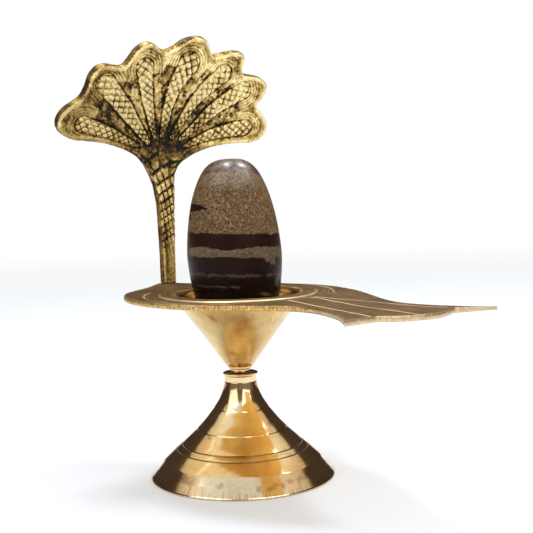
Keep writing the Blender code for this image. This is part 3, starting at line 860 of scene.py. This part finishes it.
def plate_material():
    """Brown tarnished brass brushed along the sheet, bright where it was cut, filed or rubbed, with painted
    highlights along the raised band, the hole's lip and the sheet's border, and a painted reflection on the
    tail's filed edge.
    """
    nodes = Nodes("brass_plate_brushed")
    x, y, z = nodes.parts(nodes.place)
    radius = nodes.distance(nodes.vector(x, y, 0.0))
    turn = nodes.maths("ARCTAN2", y, x)
    in_disc = nodes.span(radius, ROUND_BRUSHING[0] * MM, ROUND_BRUSHING[1] * MM, 1.0, 0.0, smooth=True)
    wander = nodes.noise(25.0, 1.0) * 0.004 - 0.002
    tail_streaks = nodes.noise(1600.0, 3.0, 0.7, at=nodes.vector(x * 0.05, y + wander, 0.0))
    disc_streaks = nodes.noise(1700.0, 3.0, 0.7, at=nodes.vector(turn * 0.0016, radius, 0.0))
    streaks = disc_streaks * in_disc + tail_streaks * (1.0 - in_disc)
    cloud = nodes.noise(70.0, 5.0, 0.6)
    grains = nodes.noise(900.0, 3.0, 0.7)
    colour = nodes.blend(nodes.span(cloud, 0.35, 0.7), tone(132, 103, 70), tone(94, 70, 45))
    colour = nodes.blend(nodes.span(streaks, 0.50, 0.70, 0.0, 0.6), colour, tone(206, 178, 128))
    colour = nodes.blend(nodes.span(streaks, 0.50, 0.32, 0.0, 0.5), colour, tone(88, 64, 42))
    colour = nodes.blend(nodes.span(grains, 0.54, 0.68, 0.0, 0.4), colour, tone(74, 52, 32))
    under = nodes.named("underside")
    colour = nodes.blend(under, colour, tone(232, 192, 116))
    # Painted highlights, pale gold, along the raised band's edge and round the hole's lip; along the
    # sheet's border partly real rubbing, partly painted highlight.
    off_band = abs(radius - (BAND_RADIUS - 0.05) * MM)
    band = nodes.span(off_band, 0.00015, 0.00045, 1.0, 0.0)
    lip = nodes.span(radius, (HOLE_RADIUS + 0.3) * MM, (HOLE_RADIUS + 0.9) * MM, 1.0, 0.0)
    border = nodes.span(nodes.named("edge_rub_and_highlight"), 0.2, 0.6, 0.0, 0.8)
    rub_and_highlight = nodes.most(band, lip, border)
    worn = nodes.span(nodes.noise(130.0, 4.0), 0.35, 0.6, 0.35, 1.0)
    colour = nodes.blend(rub_and_highlight * worn, colour, tone(226, 200, 150))
    cut = nodes.span(nodes.named("cut_line"), 0.15, 0.4)
    from_centre = nodes.distance(nodes.vector(x, y - 0.0004, 0.0))
    off_arc = abs(from_centre - DISC_LINE_RADIUS * MM)
    arc = nodes.span(off_arc, 0.00018, 0.00036, 0.8, 0.0)
    swing = abs(turn)
    arc = arc * (nodes.span(swing, 0.66, 0.8) * nodes.span(swing, 2.5, 2.62, 1.0, 0.0))
    cut = nodes.most(cut, arc * nodes.span(worn, 0.3, 0.9))
    colour = nodes.blend(cut, colour, tone(250, 232, 186))
    filings = nodes.noise(2300.0, 4.0, 0.7, at=nodes.vector(x, y, z * 0.4))
    filed_colour = nodes.ramp(filings, (
        (0.30, tone(92, 62, 28)), (0.45, tone(190, 148, 82)), (0.60, tone(236, 208, 148))))
    # Painted reflection: the filed edge turns paler and whiter towards the tail's end.
    filed_colour = nodes.blend(nodes.span(x, 0.050, 0.058, 0.0, 0.45), filed_colour, tone(226, 216, 194))
    filed = nodes.named("filed_edge")
    colour = nodes.blend(filed, colour, filed_colour)
    rough = nodes.span(streaks, 0.3, 0.7, 0.34, 0.46) + filed * 0.04 - under * 0.18
    plain_face = 1.0 - nodes.most(under, filed)
    metal = 1.0 - plain_face * nodes.span(cut, 0.0, 1.0, 0.55, 0.8)
    height = streaks * (1.0 - filed) + filings * filed * 2.5
    normal = nodes.bump(height, 0.00005, 0.6)
    return nodes.finish(colour, rough, metal, normal)


# The naga hood.

COLUMNS_PER_SPAN = 7
STEM_ROWS = 58
FAN_ROWS = 96
HEAD_RADIUS = 4.1
STRIPS = (
    (((-13.5, 49.8), (-24.5, 54.6), (-35.1, 58.0)), (0.8, 2.2, 3.0)),
    (((-9.5, 51.0), (-18.5, 61.3), (-29.0, 72.2)), (0.9, 2.7, 3.7)),
    (((-7.0, 52.6), (-12.0, 66.0), (-15.5, 78.0)), (0.8, 2.0, 3.3)),
    (((-4.4, 53.5), (-3.3, 68.5), (1.0, 80.0)), (0.8, 2.4, 4.2)),
    (((-0.5, 53.0), (6.5, 67.0), (15.2, 76.8)), (0.8, 2.2, 3.5)),
    (((3.5, 52.0), (13.5, 62.8), (24.4, 70.8)), (0.8, 2.5, 3.5)),
    (((5.5, 49.4), (16.0, 54.2), (28.4, 57.0)), (0.8, 2.2, 3.2)),
)
ARC_SPACING = 1.05
HATCH_RATE = 1.25
CELL_SHRINK = 0.4
STEM_LINES = ((1.8, 0.23), (-0.58, 1.05))
EDGE_ROUNDING = 0.45
HOOD_EDGE_LEVELS = (0.32, 0.0, -0.36)


def hood_layout(sides):
    """Flat positions of the whole front, rows from the foot up to the scalloped edge."""
    share = 0.5 * (sides + 1.0)
    heights = np.array([row[0] for row in STEM_EDGES])
    rights = np.array([row[1] for row in STEM_EDGES])
    lefts = np.array([row[2] for row in STEM_EDGES])
    stem_levels = np.linspace(0.0, heights[-1], STEM_ROWS, endpoint=False)
    first = np.interp(stem_levels, heights, rights)
    last = np.interp(stem_levels, heights, lefts)
    stem = np.stack([mix(first[:, None], last[:, None], share[None, :]),
                     np.repeat(stem_levels[:, None], len(sides), axis=1)], axis=-1)
    start = np.stack([mix(rights[-1], lefts[-1], share), np.full(len(sides), heights[-1])], axis=1)
    pull = mix(np.array(LOWER_PULLS[0]), np.array(LOWER_PULLS[1]), share[:, None])
    pull[:, 1] += MIDDLE_PULL_RISE * (1.0 - sides ** 2)
    end = spline_through([*(point for lobe in LOBE_EDGES for point in lobe), LAST_CORNER], COLUMNS_PER_SPAN)
    reach = (np.arange(FAN_ROWS + 1) / FAN_ROWS)[:, None, None]
    fan = start * (1 - reach) ** 2 + pull * 2 * reach * (1 - reach) + end * reach ** 2
    return np.concatenate([stem, fan])


def arc_lengths(points):
    """Distance along each column of points from its first row."""
    steps = np.linalg.norm(np.diff(points, axis=0), axis=-1)
    return np.concatenate([np.zeros((1, points.shape[1])), np.cumsum(steps, axis=0)])


def hatch(across, along, rate, half):
    """Depth share of two families of crossing lines, in a strip that is half wide."""
    depth = np.zeros_like(across)
    for way in (1.0, -1.0):
        phase = (along + way * across) * rate
        from_line = np.abs(phase - np.round(phase)) / rate * half * 0.7071
        depth = np.maximum(depth, groove(from_line, 0.34))
    return depth


PATINA_SPOTS = (
    ((-32.4, 65.0), 0.50, 3.4), ((-36.4, 66.6), 0.35, 2.2), ((-28.5, 60.6), 0.28, 3.2),
    ((-8.8, 84.6), 0.30, 1.8), ((10.2, 82.9), 0.40, 1.4), ((-19.6, 74.0), 0.20, 2.6),
    ((15.3, 73.1), 0.34, 2.4), ((25.0, 64.9), 0.26, 2.6), ((5.9, 75.7), 0.24, 2.2),
    ((-37.4, 58.4), 0.24, 2.2), ((11.0, 62.6), 0.16, 3.4), ((-27.5, 71.0), 0.12, 3.0),
    ((-4.8, 53.7), 0.30, 5.0), ((-2.0, 58.5), 0.34, 4.5), ((-9.0, 66.0), 0.12, 4.0),
    ((4.0, 61.5), 0.24, 3.6), ((9.5, 59.0), 0.20, 3.6),
)


def edge_distance(fan):
    """Distance of each point of the fan to the edge, over the outline's own points."""
    outline = np.concatenate([fan[:, 0], fan[-1], fan[::-1, -1]])
    best = np.full(fan.shape[:2], 1e9)
    for point in outline[::2]:
        best = np.minimum(best, np.hypot(fan[..., 0] - point[0], fan[..., 1] - point[1]))
    return best


def strip_places(fan):
    """For each point, its nearest strip's measures: gap and side from its middle line, distance
    back from its head, half width, cells run and cell size."""
    shape = fan.shape[:2]
    best = np.full(shape, 1e9)
    gap, side, back, half, run, cell = (np.zeros(shape) for _ in range(6))
    for route, halves in STRIPS:
        line = spline_through(route, 8)
        steps = np.linalg.norm(np.diff(line, axis=0), axis=1)
        along = running_total(steps)
        widths = np.interp(np.arange(len(line)), (0, 8, 16), halves)
        cells = HEAD_RADIUS * (widths / HEAD_RADIUS) ** CELL_SHRINK
        runs = running_total(steps / cells[1:])
        for k, step in enumerate(steps):
            ahead = (line[k + 1] - line[k]) / step
            offset = fan - line[k]
            place = offset @ ahead
            kept = np.clip(place, 0.0, step)
            away = np.linalg.norm(offset - kept[..., None] * ahead, axis=-1)
            wide = mix(widths[k], widths[k + 1], kept / step)
            closer = away - wide < best
            last = k == len(steps) - 1
            travel = np.maximum(place, 0.0) if last else kept
            best = np.where(closer, away - wide, best)
            gap = np.where(closer, away, gap)
            side = np.where(closer, offset[..., 1] * ahead[0] - offset[..., 0] * ahead[1], side)
            back = np.where(closer, along[-1] - along[k] - travel, back)
            half = np.where(closer, wide, half)
            run = np.where(closer, runs[k] + travel / cells[k + 1], run)
            cell = np.where(closer, cells[k + 1], cell)
    return gap, side, back, half, run, cell


def pillows(phases):
    """A rounded rise between the cut lines: 1 in the middle of each cell and 0 on its lines."""
    rise = np.ones_like(phases[0])
    for phase in phases:
        rise = rise * np.sin(pi * (phase - np.floor(phase)))
    return np.sqrt(rise)


def fan_relief(fan):
    """Height of the fan's face over the middle of the sheet, and the marks the material reads."""
    gap, side, back, half, run, cell = strip_places(fan)
    flat = raised_to(fan, 0.0)
    climb = arc_lengths(fan)
    from_middle = gap + 0.22 * field_noise(flat, 5.0, 21.0) + 0.10 * field_noise(flat, 1.6, 22.0)
    alpha = from_middle / half
    inside = falling(alpha, 0.90, 0.16)
    beyond = from_middle - half
    to_edge = edge_distance(fan)
    near_head = falling(back, 1.4, 2.8)
    started = rising(climb, 4.0, 6.0)
    lines = hatch(side / cell, run, HATCH_RATE, cell) * falling(alpha, 0.85, 0.1)
    cells_up = pillows([(run + side / cell) * HATCH_RATE, (run - side / cell) * HATCH_RATE])
    crown = 0.85 + 0.62 * np.sqrt(np.clip(1.0 - 0.8 * np.minimum(alpha, 1.0) ** 2, 0.0, 1.0))
    crown = crown + 0.20 * (cells_up - 0.5)
    arcs = np.zeros(fan.shape[:2])
    for ring in (1, 2, 3):
        arcs = np.maximum(arcs, groove(beyond - ring * ARC_SPACING, 0.2))
    pits = 0.18 * field_noise(flat, 0.9, 31.0) + 0.20 * field_noise(flat, 2.0, 32.0)
    away = rising(to_edge, 3.0, 4.0) * (1.0 - near_head)
    valley = mix(1.15, 0.50, away) + pits * (1.0 - 0.7 * near_head)
    outside = valley - 0.22 * arcs * near_head * falling(beyond, 3.6, 0.6)
    border = 0.36 * groove(beyond, 0.28) * started
    height = mix(outside, crown - 0.30 * lines * started, inside * started) - border
    slope = mix(1.66, 1.2, rising(to_edge, 0.9, 1.2))
    rim = falling(to_edge, 1.4, 0.9)
    height = mix(height, slope, rim) + 0.10 * rim * field_noise(flat, 1.7, 33.0)
    height = height - 0.42 * falling(to_edge, 0.0, 0.7) ** 2
    gather = mix(0.46, 0.0, rising(climb, 0.0, 24.0)) + 0.14 * (1.0 - inside) * away
    gather = gather + 0.20 * groove(climb - 10.0, 5.0)
    gather = gather + 0.30 * falling(to_edge, 0.0, 0.9)
    for (right, high), depth, reach in PATINA_SPOTS:
        off = np.hypot(fan[..., 0] - right, fan[..., 1] - high)
        gather = gather + depth * groove(off, reach)
    gather = gather + 0.34 * field_noise(flat, 6.0, 41.0) + 0.26 * field_noise(flat, 1.5, 42.0)
    gather = gather + 0.28 * rim * np.maximum(field_noise(flat, 3.2, 43.0), 0.0)
    marks = {"strip_u": side / cell, "strip_v": run, "strip_in": inside * started * (1.0 - rim),
             "arc": beyond / ARC_SPACING, "arc_in": near_head * (1.0 - inside) * (1.0 - rim),
             "valley": (1.0 - inside) * started * (1.0 - rim) * (1.0 - near_head)}
    return height, gather, marks


def hood_relief(layout, sides):
    """Front heights of stem and fan in millimetres, where patina gathers, and the marks."""
    shape = layout.shape[:2]
    half = 0.5 * np.linalg.norm(layout[:, -1] - layout[:, 0], axis=-1)
    lengths = arc_lengths(layout[:, [len(sides) // 2]])[:, 0]
    run = running_total(np.diff(lengths) / half[1:])
    along = np.repeat(run[:, None], shape[1], axis=1)
    share = np.repeat(sides[None, :], shape[0], axis=0)
    height_up = layout[..., 1]
    fade = rising(height_up, 8.0, 10.0)
    phases = [by_share * share + by_run * along for by_share, by_run in STEM_LINES]
    lines = np.zeros(shape)
    for phase in phases:
        lines = np.maximum(lines, falling(np.abs(phase - np.round(phase)), 0.0, 0.2))
    raised = 0.42 * (pillows(phases) - 0.6) * fade
    flat = raised_to(layout, 0.0)
    pits = np.maximum(field_noise(flat, 0.8, 52.0), 0.0)
    sides_down = rising(np.abs(share), 0.72, 0.28)
    stem = 0.5 * HOOD_THICKNESS - 0.5 * sides_down - 0.30 * lines * fade - 0.06 * pits
    stem = stem + np.minimum(raised, 0.16)
    fan, gather, marks = fan_relief(layout[STEM_ROWS:])
    climb = arc_lengths(layout[STEM_ROWS:])
    joined = rising(climb, 1.0, 8.0)
    lower = stem[STEM_ROWS:] - 0.35
    relief = np.concatenate([stem[:STEM_ROWS] - 0.35 * rising(height_up[:STEM_ROWS], 32.0, 9.0),
                             mix(lower, fan, joined)])
    seam = groove(share + 0.5, 0.3) * rising(height_up, 0.0, 5.0)
    seam = seam * falling(height_up, 19.0, 6.0)
    stem_gather = mix(0.02, 0.16, fade) + 0.42 * seam + 0.22 * field_noise(flat, 4.0, 53.0)
    stem_gather = stem_gather[:STEM_ROWS]
    whole = {name: np.concatenate([np.zeros((STEM_ROWS, shape[1])), values])
             for name, values in marks.items()}
    whole["stem_u"] = share
    whole["stem_v"] = along
    stem_in = fade.copy()
    stem_in[STEM_ROWS:] *= falling(climb, 4.0, 5.0)
    whole["stem_in"] = stem_in
    return relief, np.concatenate([stem_gather, gather]), whole


def bend_tables(top):
    """Forward and upward travel, and lean, at each height of the flat layout."""
    levels = np.linspace(0.0, top, 1200)
    lean = HOOD_LEAN * rising(levels, BEND_START, BEND_END - BEND_START)
    step = levels[1] - levels[0]
    forward = running_total(np.sin(lean[1:]) * step)
    rise = running_total(np.cos(lean[1:]) * step)
    return levels, forward, rise, lean


def bent(layout, out):
    """Place the flat layout, with its heights, on the leaning sheet in the stand's own frame."""
    levels, forward, rise, lean = bend_tables(layout[..., 1].max() + 1.0)
    up = layout[..., 1]
    angle = np.interp(up, levels, lean)
    spread = np.abs(layout[..., 0]) / HOOD_HALF_SPAN
    out = out + HOOD_DISH * spread ** 2
    ahead = np.interp(up, levels, forward) + out * np.cos(angle)
    height = np.interp(up, levels, rise) - out * np.sin(angle)
    height = height + PLATE_TOP_Z + GAP * np.clip(up / 4.0, -0.1, 1.0)
    turn_cos, turn_sin = cos(HOOD_TURN), sin(HOOD_TURN)
    return np.stack([HOOD_FOOT[0] + ahead * turn_cos - layout[..., 0] * turn_sin,
                     HOOD_FOOT[1] + ahead * turn_sin + layout[..., 0] * turn_cos, height], axis=-1)


def box_blur(field, *reaches):
    """The field's mean over a box round each point, with a reach for each way of the grid."""
    for axis, reach in enumerate(reaches):
        margins = [(reach, reach) if k == axis else (0, 0) for k in (0, 1)]
        padded = np.pad(field, margins, mode="edge")
        windows = np.lib.stride_tricks.sliding_window_view(padded, 2 * reach + 1, axis=axis)
        field = windows.mean(axis=-1)
    return field


def make_hood():
    """One closed sheet: the carved front, a plain cast back and a rounded edge between them."""
    columns = LOBES * len(LOBE_EDGES[0]) * COLUMNS_PER_SPAN + 1
    sides = np.linspace(-1.0, 1.0, columns)
    layout = hood_layout(sides)
    relief, gather, marks = hood_relief(layout, sides)
    rows = layout.shape[0]
    count = rows * columns
    index = np.arange(count).reshape(rows, columns)
    border = np.concatenate([index[0], index[1:, -1], index[-1, -2::-1], index[-2:0:-1, 0]])
    edge_flat = layout.reshape(-1, 2)[border]
    away = outward_of(edge_flat)
    inset = layout.reshape(-1, 2).copy()
    inset[border] -= away * EDGE_ROUNDING
    inset[:, 1] = np.maximum(inset[:, 1], 0.0)
    inset = inset.reshape(layout.shape)
    front = bent(inset, relief)
    flat = raised_to(layout, 0.0)
    back_skin = 0.10 * field_noise(flat, 3.5, 61.0) - 0.5 * HOOD_THICKNESS + 0.1
    back = bent(inset, back_skin)
    cavity = relief - box_blur(relief, 4, 5)
    patina = 0.20 + 0.9 * gather - 1.1 * cavity
    quads = grid_faces(index)
    extra = []
    for level in HOOD_EDGE_LEVELS:
        mark = field_noise(raised_to(edge_flat, level * 3.0), 1.6, 71.0)
        moved = edge_flat - away * (0.22 + 0.10 * mark + 0.6 * level ** 2)[:, None]
        moved[:, 1] = np.maximum(moved[:, 1], 0.0)
        extra.append(bent(moved, np.full(len(border), level * HOOD_THICKNESS)))
    faces = np.vstack([quads[:, ::-1], quads + count, edge_faces(border, count, len(extra))])
    points = np.vstack([front.reshape(-1, 3), back.reshape(-1, 3), *extra])
    hood = new_object("naga_hood_cast", points, faces, 50.0)
    edge_patina = np.tile(0.66 + 0.36 * field_noise(raised_to(edge_flat, 0.0), 3.0, 72.0), len(extra))
    back_patina = 0.44 + 0.20 * field_noise(flat, 6.0, 81.0)
    plain = np.zeros(count + len(edge_patina))
    add_values(hood, "patina", np.concatenate([patina.ravel(), back_patina.ravel(), edge_patina]))
    for name, values in marks.items():
        add_values(hood, name, np.concatenate([values.ravel(), plain]))
    hood.data.materials.append(hood_material())
    return hood


def hood_material():
    """Antique cast brass: pale gold on the high places, olive-black patina in the cut lines."""
    nodes = Nodes("brass_hood_antique")
    grime = nodes.noise(1100.0, 4.0, 0.7)
    coarse = nodes.noise(420.0, 4.0, 0.65)
    patches = nodes.noise(120.0, 3.0, 0.6)
    warp = nodes.noise(300.0, 2.0) * 0.36 - 0.18

    def crossing(u_name, v_name, families, width):
        u = nodes.named(u_name) + warp
        v = nodes.named(v_name)
        crossed = []
        for by_u, by_v in families:
            phase = u * by_u + v * by_v
            off = abs(nodes.maths("FRACT", phase) - 0.5)
            crossed.append(nodes.span(off, 0.5 - width, 0.5 - 0.25 * width, smooth=True))
        return nodes.most(*crossed)

    strip_lines = ((HATCH_RATE, HATCH_RATE), (-HATCH_RATE, HATCH_RATE))
    strip = crossing("strip_u", "strip_v", strip_lines, 0.11) * nodes.named("strip_in")
    stem = crossing("stem_u", "stem_v", STEM_LINES, 0.16) * nodes.named("stem_in")
    ring = abs(nodes.maths("FRACT", nodes.named("arc")) - 0.5)
    ring = nodes.span(ring, 0.36, 0.48, smooth=True)
    within = nodes.span(nodes.named("arc"), 0.4, 0.5) * nodes.span(nodes.named("arc"), 3.4, 3.5, 1.0, 0.0)
    ring = ring * within * nodes.named("arc_in")
    bound = nodes.span(abs(nodes.named("arc")), 0.12, 0.3, 1.0, 0.0)
    bound = bound * nodes.most(nodes.named("valley"), nodes.named("arc_in"))
    lines = nodes.most(strip, stem, ring, bound)
    worn = nodes.span(coarse, 0.38, 0.58, 0.05, 1.0)
    kept = nodes.span(patches, 0.36, 0.54, 0.28, 1.0)
    lines = lines * (worn * kept)
    open_ground = nodes.named("valley") * 0.8 + 0.2
    pits = nodes.span(coarse, 0.51, 0.6) * open_ground
    share = nodes.named("patina") + nodes.span(grime, 0.3, 0.7, -0.26, 0.28)
    share = share + nodes.span(patches, 0.3, 0.7, -0.12, 0.14) + lines * 0.62 + pits * 0.5
    colour = nodes.ramp(share, (
        (0.04, tone(250, 232, 172)), (0.28, tone(222, 192, 120)), (0.52, tone(170, 138, 76)),
        (0.78, tone(84, 66, 38)), (1.0, tone(28, 24, 17))))
    rough = nodes.span(share, 0.1, 0.9, 0.36, 0.62)
    metal = nodes.span(share, 0.65, 1.0, 1.0, 0.6)
    normal = nodes.bump(grime * 0.35 - lines - pits * 0.7, 0.00022, 0.8)
    return nodes.finish(colour, rough, metal, normal)


# The studio.

VIEW_AZIMUTH = radians(51.5)
FOCAL_PIXELS = 1050.0
PICTURE_PIXELS = 533.0
SENSOR_MM = 36.0
CAMERA_BACK = 337.5
CAMERA_HEIGHT = 96.8
CAMERA_YAW = 0.028
CAMERA_PITCH = 0.0856
CAMERA_ROLL = -0.0279


def make_camera():
    """The photograph's viewpoint: just above the plate, looking a little down."""
    forward = Vector((sin(CAMERA_YAW) * cos(CAMERA_PITCH), cos(CAMERA_YAW) * cos(CAMERA_PITCH),
                      -sin(CAMERA_PITCH)))
    level = Vector((cos(CAMERA_YAW), -sin(CAMERA_YAW), 0.0))
    upright = level.cross(forward)
    right = level * cos(CAMERA_ROLL) + upright * sin(CAMERA_ROLL)
    up = upright * cos(CAMERA_ROLL) - level * sin(CAMERA_ROLL)
    turn = Matrix.Rotation(VIEW_AZIMUTH, 3, "Z")
    axes = Matrix((turn @ right, turn @ up, turn @ -forward)).transposed()
    data = bpy.data.cameras.new("photo_camera")
    data.sensor_width = SENSOR_MM
    data.lens = SENSOR_MM * FOCAL_PIXELS / PICTURE_PIXELS
    data.clip_start = 0.01
    data.clip_end = 20.0
    camera = bpy.data.objects.new("photo_camera", data)
    place = turn @ Vector((0.0, -CAMERA_BACK, CAMERA_HEIGHT)) * MM
    camera.matrix_world = Matrix.Translation(place) @ axes.to_4x4()
    bpy.context.scene.collection.objects.link(camera)
    bpy.context.scene.camera = camera


def make_floor():
    """A wide pale disc that fades into the backdrop with distance."""
    bpy.ops.mesh.primitive_circle_add(vertices=96, radius=1.6, fill_type="NGON")
    floor = bpy.context.object
    floor.name = "studio_floor"
    nodes = Nodes("studio_floor_pale", bare=True)
    fade = nodes.span(nodes.distance(nodes.place), 0.25, 1.1, smooth=True)
    matt = nodes.made("ShaderNodeBsdfDiffuse", {"Color": (0.82, 0.87, 0.98, 1.0)})
    clear = nodes.made("ShaderNodeBsdfTransparent")
    nodes.show("ShaderNodeOutputMaterial", fade, matt, clear)
    floor.data.materials.append(nodes.owner)


# The room's colours from straight below, 0, to straight above, 1.

BACK_ROOM = (
    (0.0, (0.55, 0.50, 0.44)), (0.49, (0.45, 0.40, 0.35)), (0.51, (0.050, 0.034, 0.026)),
    (0.785, (0.06, 0.042, 0.03)), (0.80, (0.62, 0.54, 0.40)), (0.88, (0.90, 0.82, 0.66)),
    (0.925, (0.95, 0.88, 0.74)), (0.96, (0.92, 0.84, 0.66)),
)
FRONT_ROOM = (
    (0.0, (0.58, 0.53, 0.45)), (0.47, (0.62, 0.56, 0.46)), (0.51, (0.20, 0.17, 0.14)),
    (0.62, (0.22, 0.19, 0.15)), (0.66, (0.12, 0.09, 0.07)), (0.80, (0.20, 0.15, 0.10)),
    (0.86, (0.74, 0.76, 0.76)), (0.95, (0.78, 0.86, 0.94)),
)


def make_world():
    """A pale backdrop, and a room with a bright ceiling and dark walls for the brass to mirror."""
    world = bpy.data.worlds.new("studio_world")
    bpy.context.scene.world = world
    nodes = Nodes(world, "Generated", bare=True)
    turned = nodes.made("ShaderNodeVectorRotate", {"Vector": nodes.place, "Angle": -VIEW_AZIMUTH},
                        rotation_type="Z_AXIS")
    y, z = nodes.parts(turned)[1:]
    height = z * 0.5 + 0.5
    facing = nodes.span(y, 0.05, -0.55, smooth=True)
    colour = nodes.blend(facing, nodes.ramp(height, BACK_ROOM), nodes.ramp(height, FRONT_ROOM))
    room = nodes.made("ShaderNodeBackground", {"Color": colour, "Strength": 1.15})
    backdrop = nodes.made("ShaderNodeBackground", {"Color": (1.0, 1.0, 1.0, 1.0)})
    seen = nodes.made("ShaderNodeLightPath", output="Is Camera Ray")
    nodes.show("ShaderNodeOutputWorld", seen, room, backdrop)


def softbox(name, azimuth, elevation, distance, width, height, power, colour):
    """An area light aimed at the middle of the object; azimuth 0 is the camera's side."""
    turn = VIEW_AZIMUTH + radians(azimuth)
    rise = radians(elevation)
    middle = Vector((0.0, 0.0, 0.075))
    away = Vector((sin(turn) * cos(rise), -cos(turn) * cos(rise), sin(rise)))
    data = bpy.data.lights.new(name, "AREA")
    data.shape = "RECTANGLE"
    data.size = width
    data.size_y = height
    data.energy = power
    data.color = colour
    light = bpy.data.objects.new(name, data)
    light.location = middle + away * distance
    light.rotation_mode = "QUATERNION"
    light.rotation_quaternion = away.to_track_quat("Z", "Y")
    light.visible_camera = False
    bpy.context.scene.collection.objects.link(light)


def make_lights():
    softbox("key_front_right", 35, 32, 0.85, 0.70, 0.60, 2.9, (1.0, 0.97, 0.92))
    softbox("fill_front_left", -48, 30, 0.85, 0.70, 0.60, 2.1, (1.0, 0.98, 0.95))
    softbox("streak_left", -104, 53, 0.80, 0.010, 0.20, 0.010, (1.0, 0.99, 0.96))
    softbox("streak_right", 92, 53, 0.80, 0.05, 0.24, 0.45, (1.0, 0.98, 0.92))
    softbox("top_left", -150, 72.5, 0.80, 0.14, 0.14, 2.5, (0.90, 0.95, 1.0))
    softbox("top_right", 127, 60, 0.80, 0.12, 0.12, 1.8, (0.90, 0.95, 1.0))


PIECES = (
    (make_stone, "stone", "banded_stone"),
    (make_base, "base", "polished_brass_base"),
    (make_cup, "cup", "polished_brass_cup"),
    (make_plate, "plate", "brushed_brass_plate"),
    (make_hood, "naga_hood", "antique_brass_hood"),
)

bpy.context.scene.view_settings.view_transform = "Standard"
make_camera()
make_floor()
make_world()
make_lights()
for make, node, slot in PIECES:
    piece = make()
    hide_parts(node)
    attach(piece, "root")

bpy.context.view_layer.update()
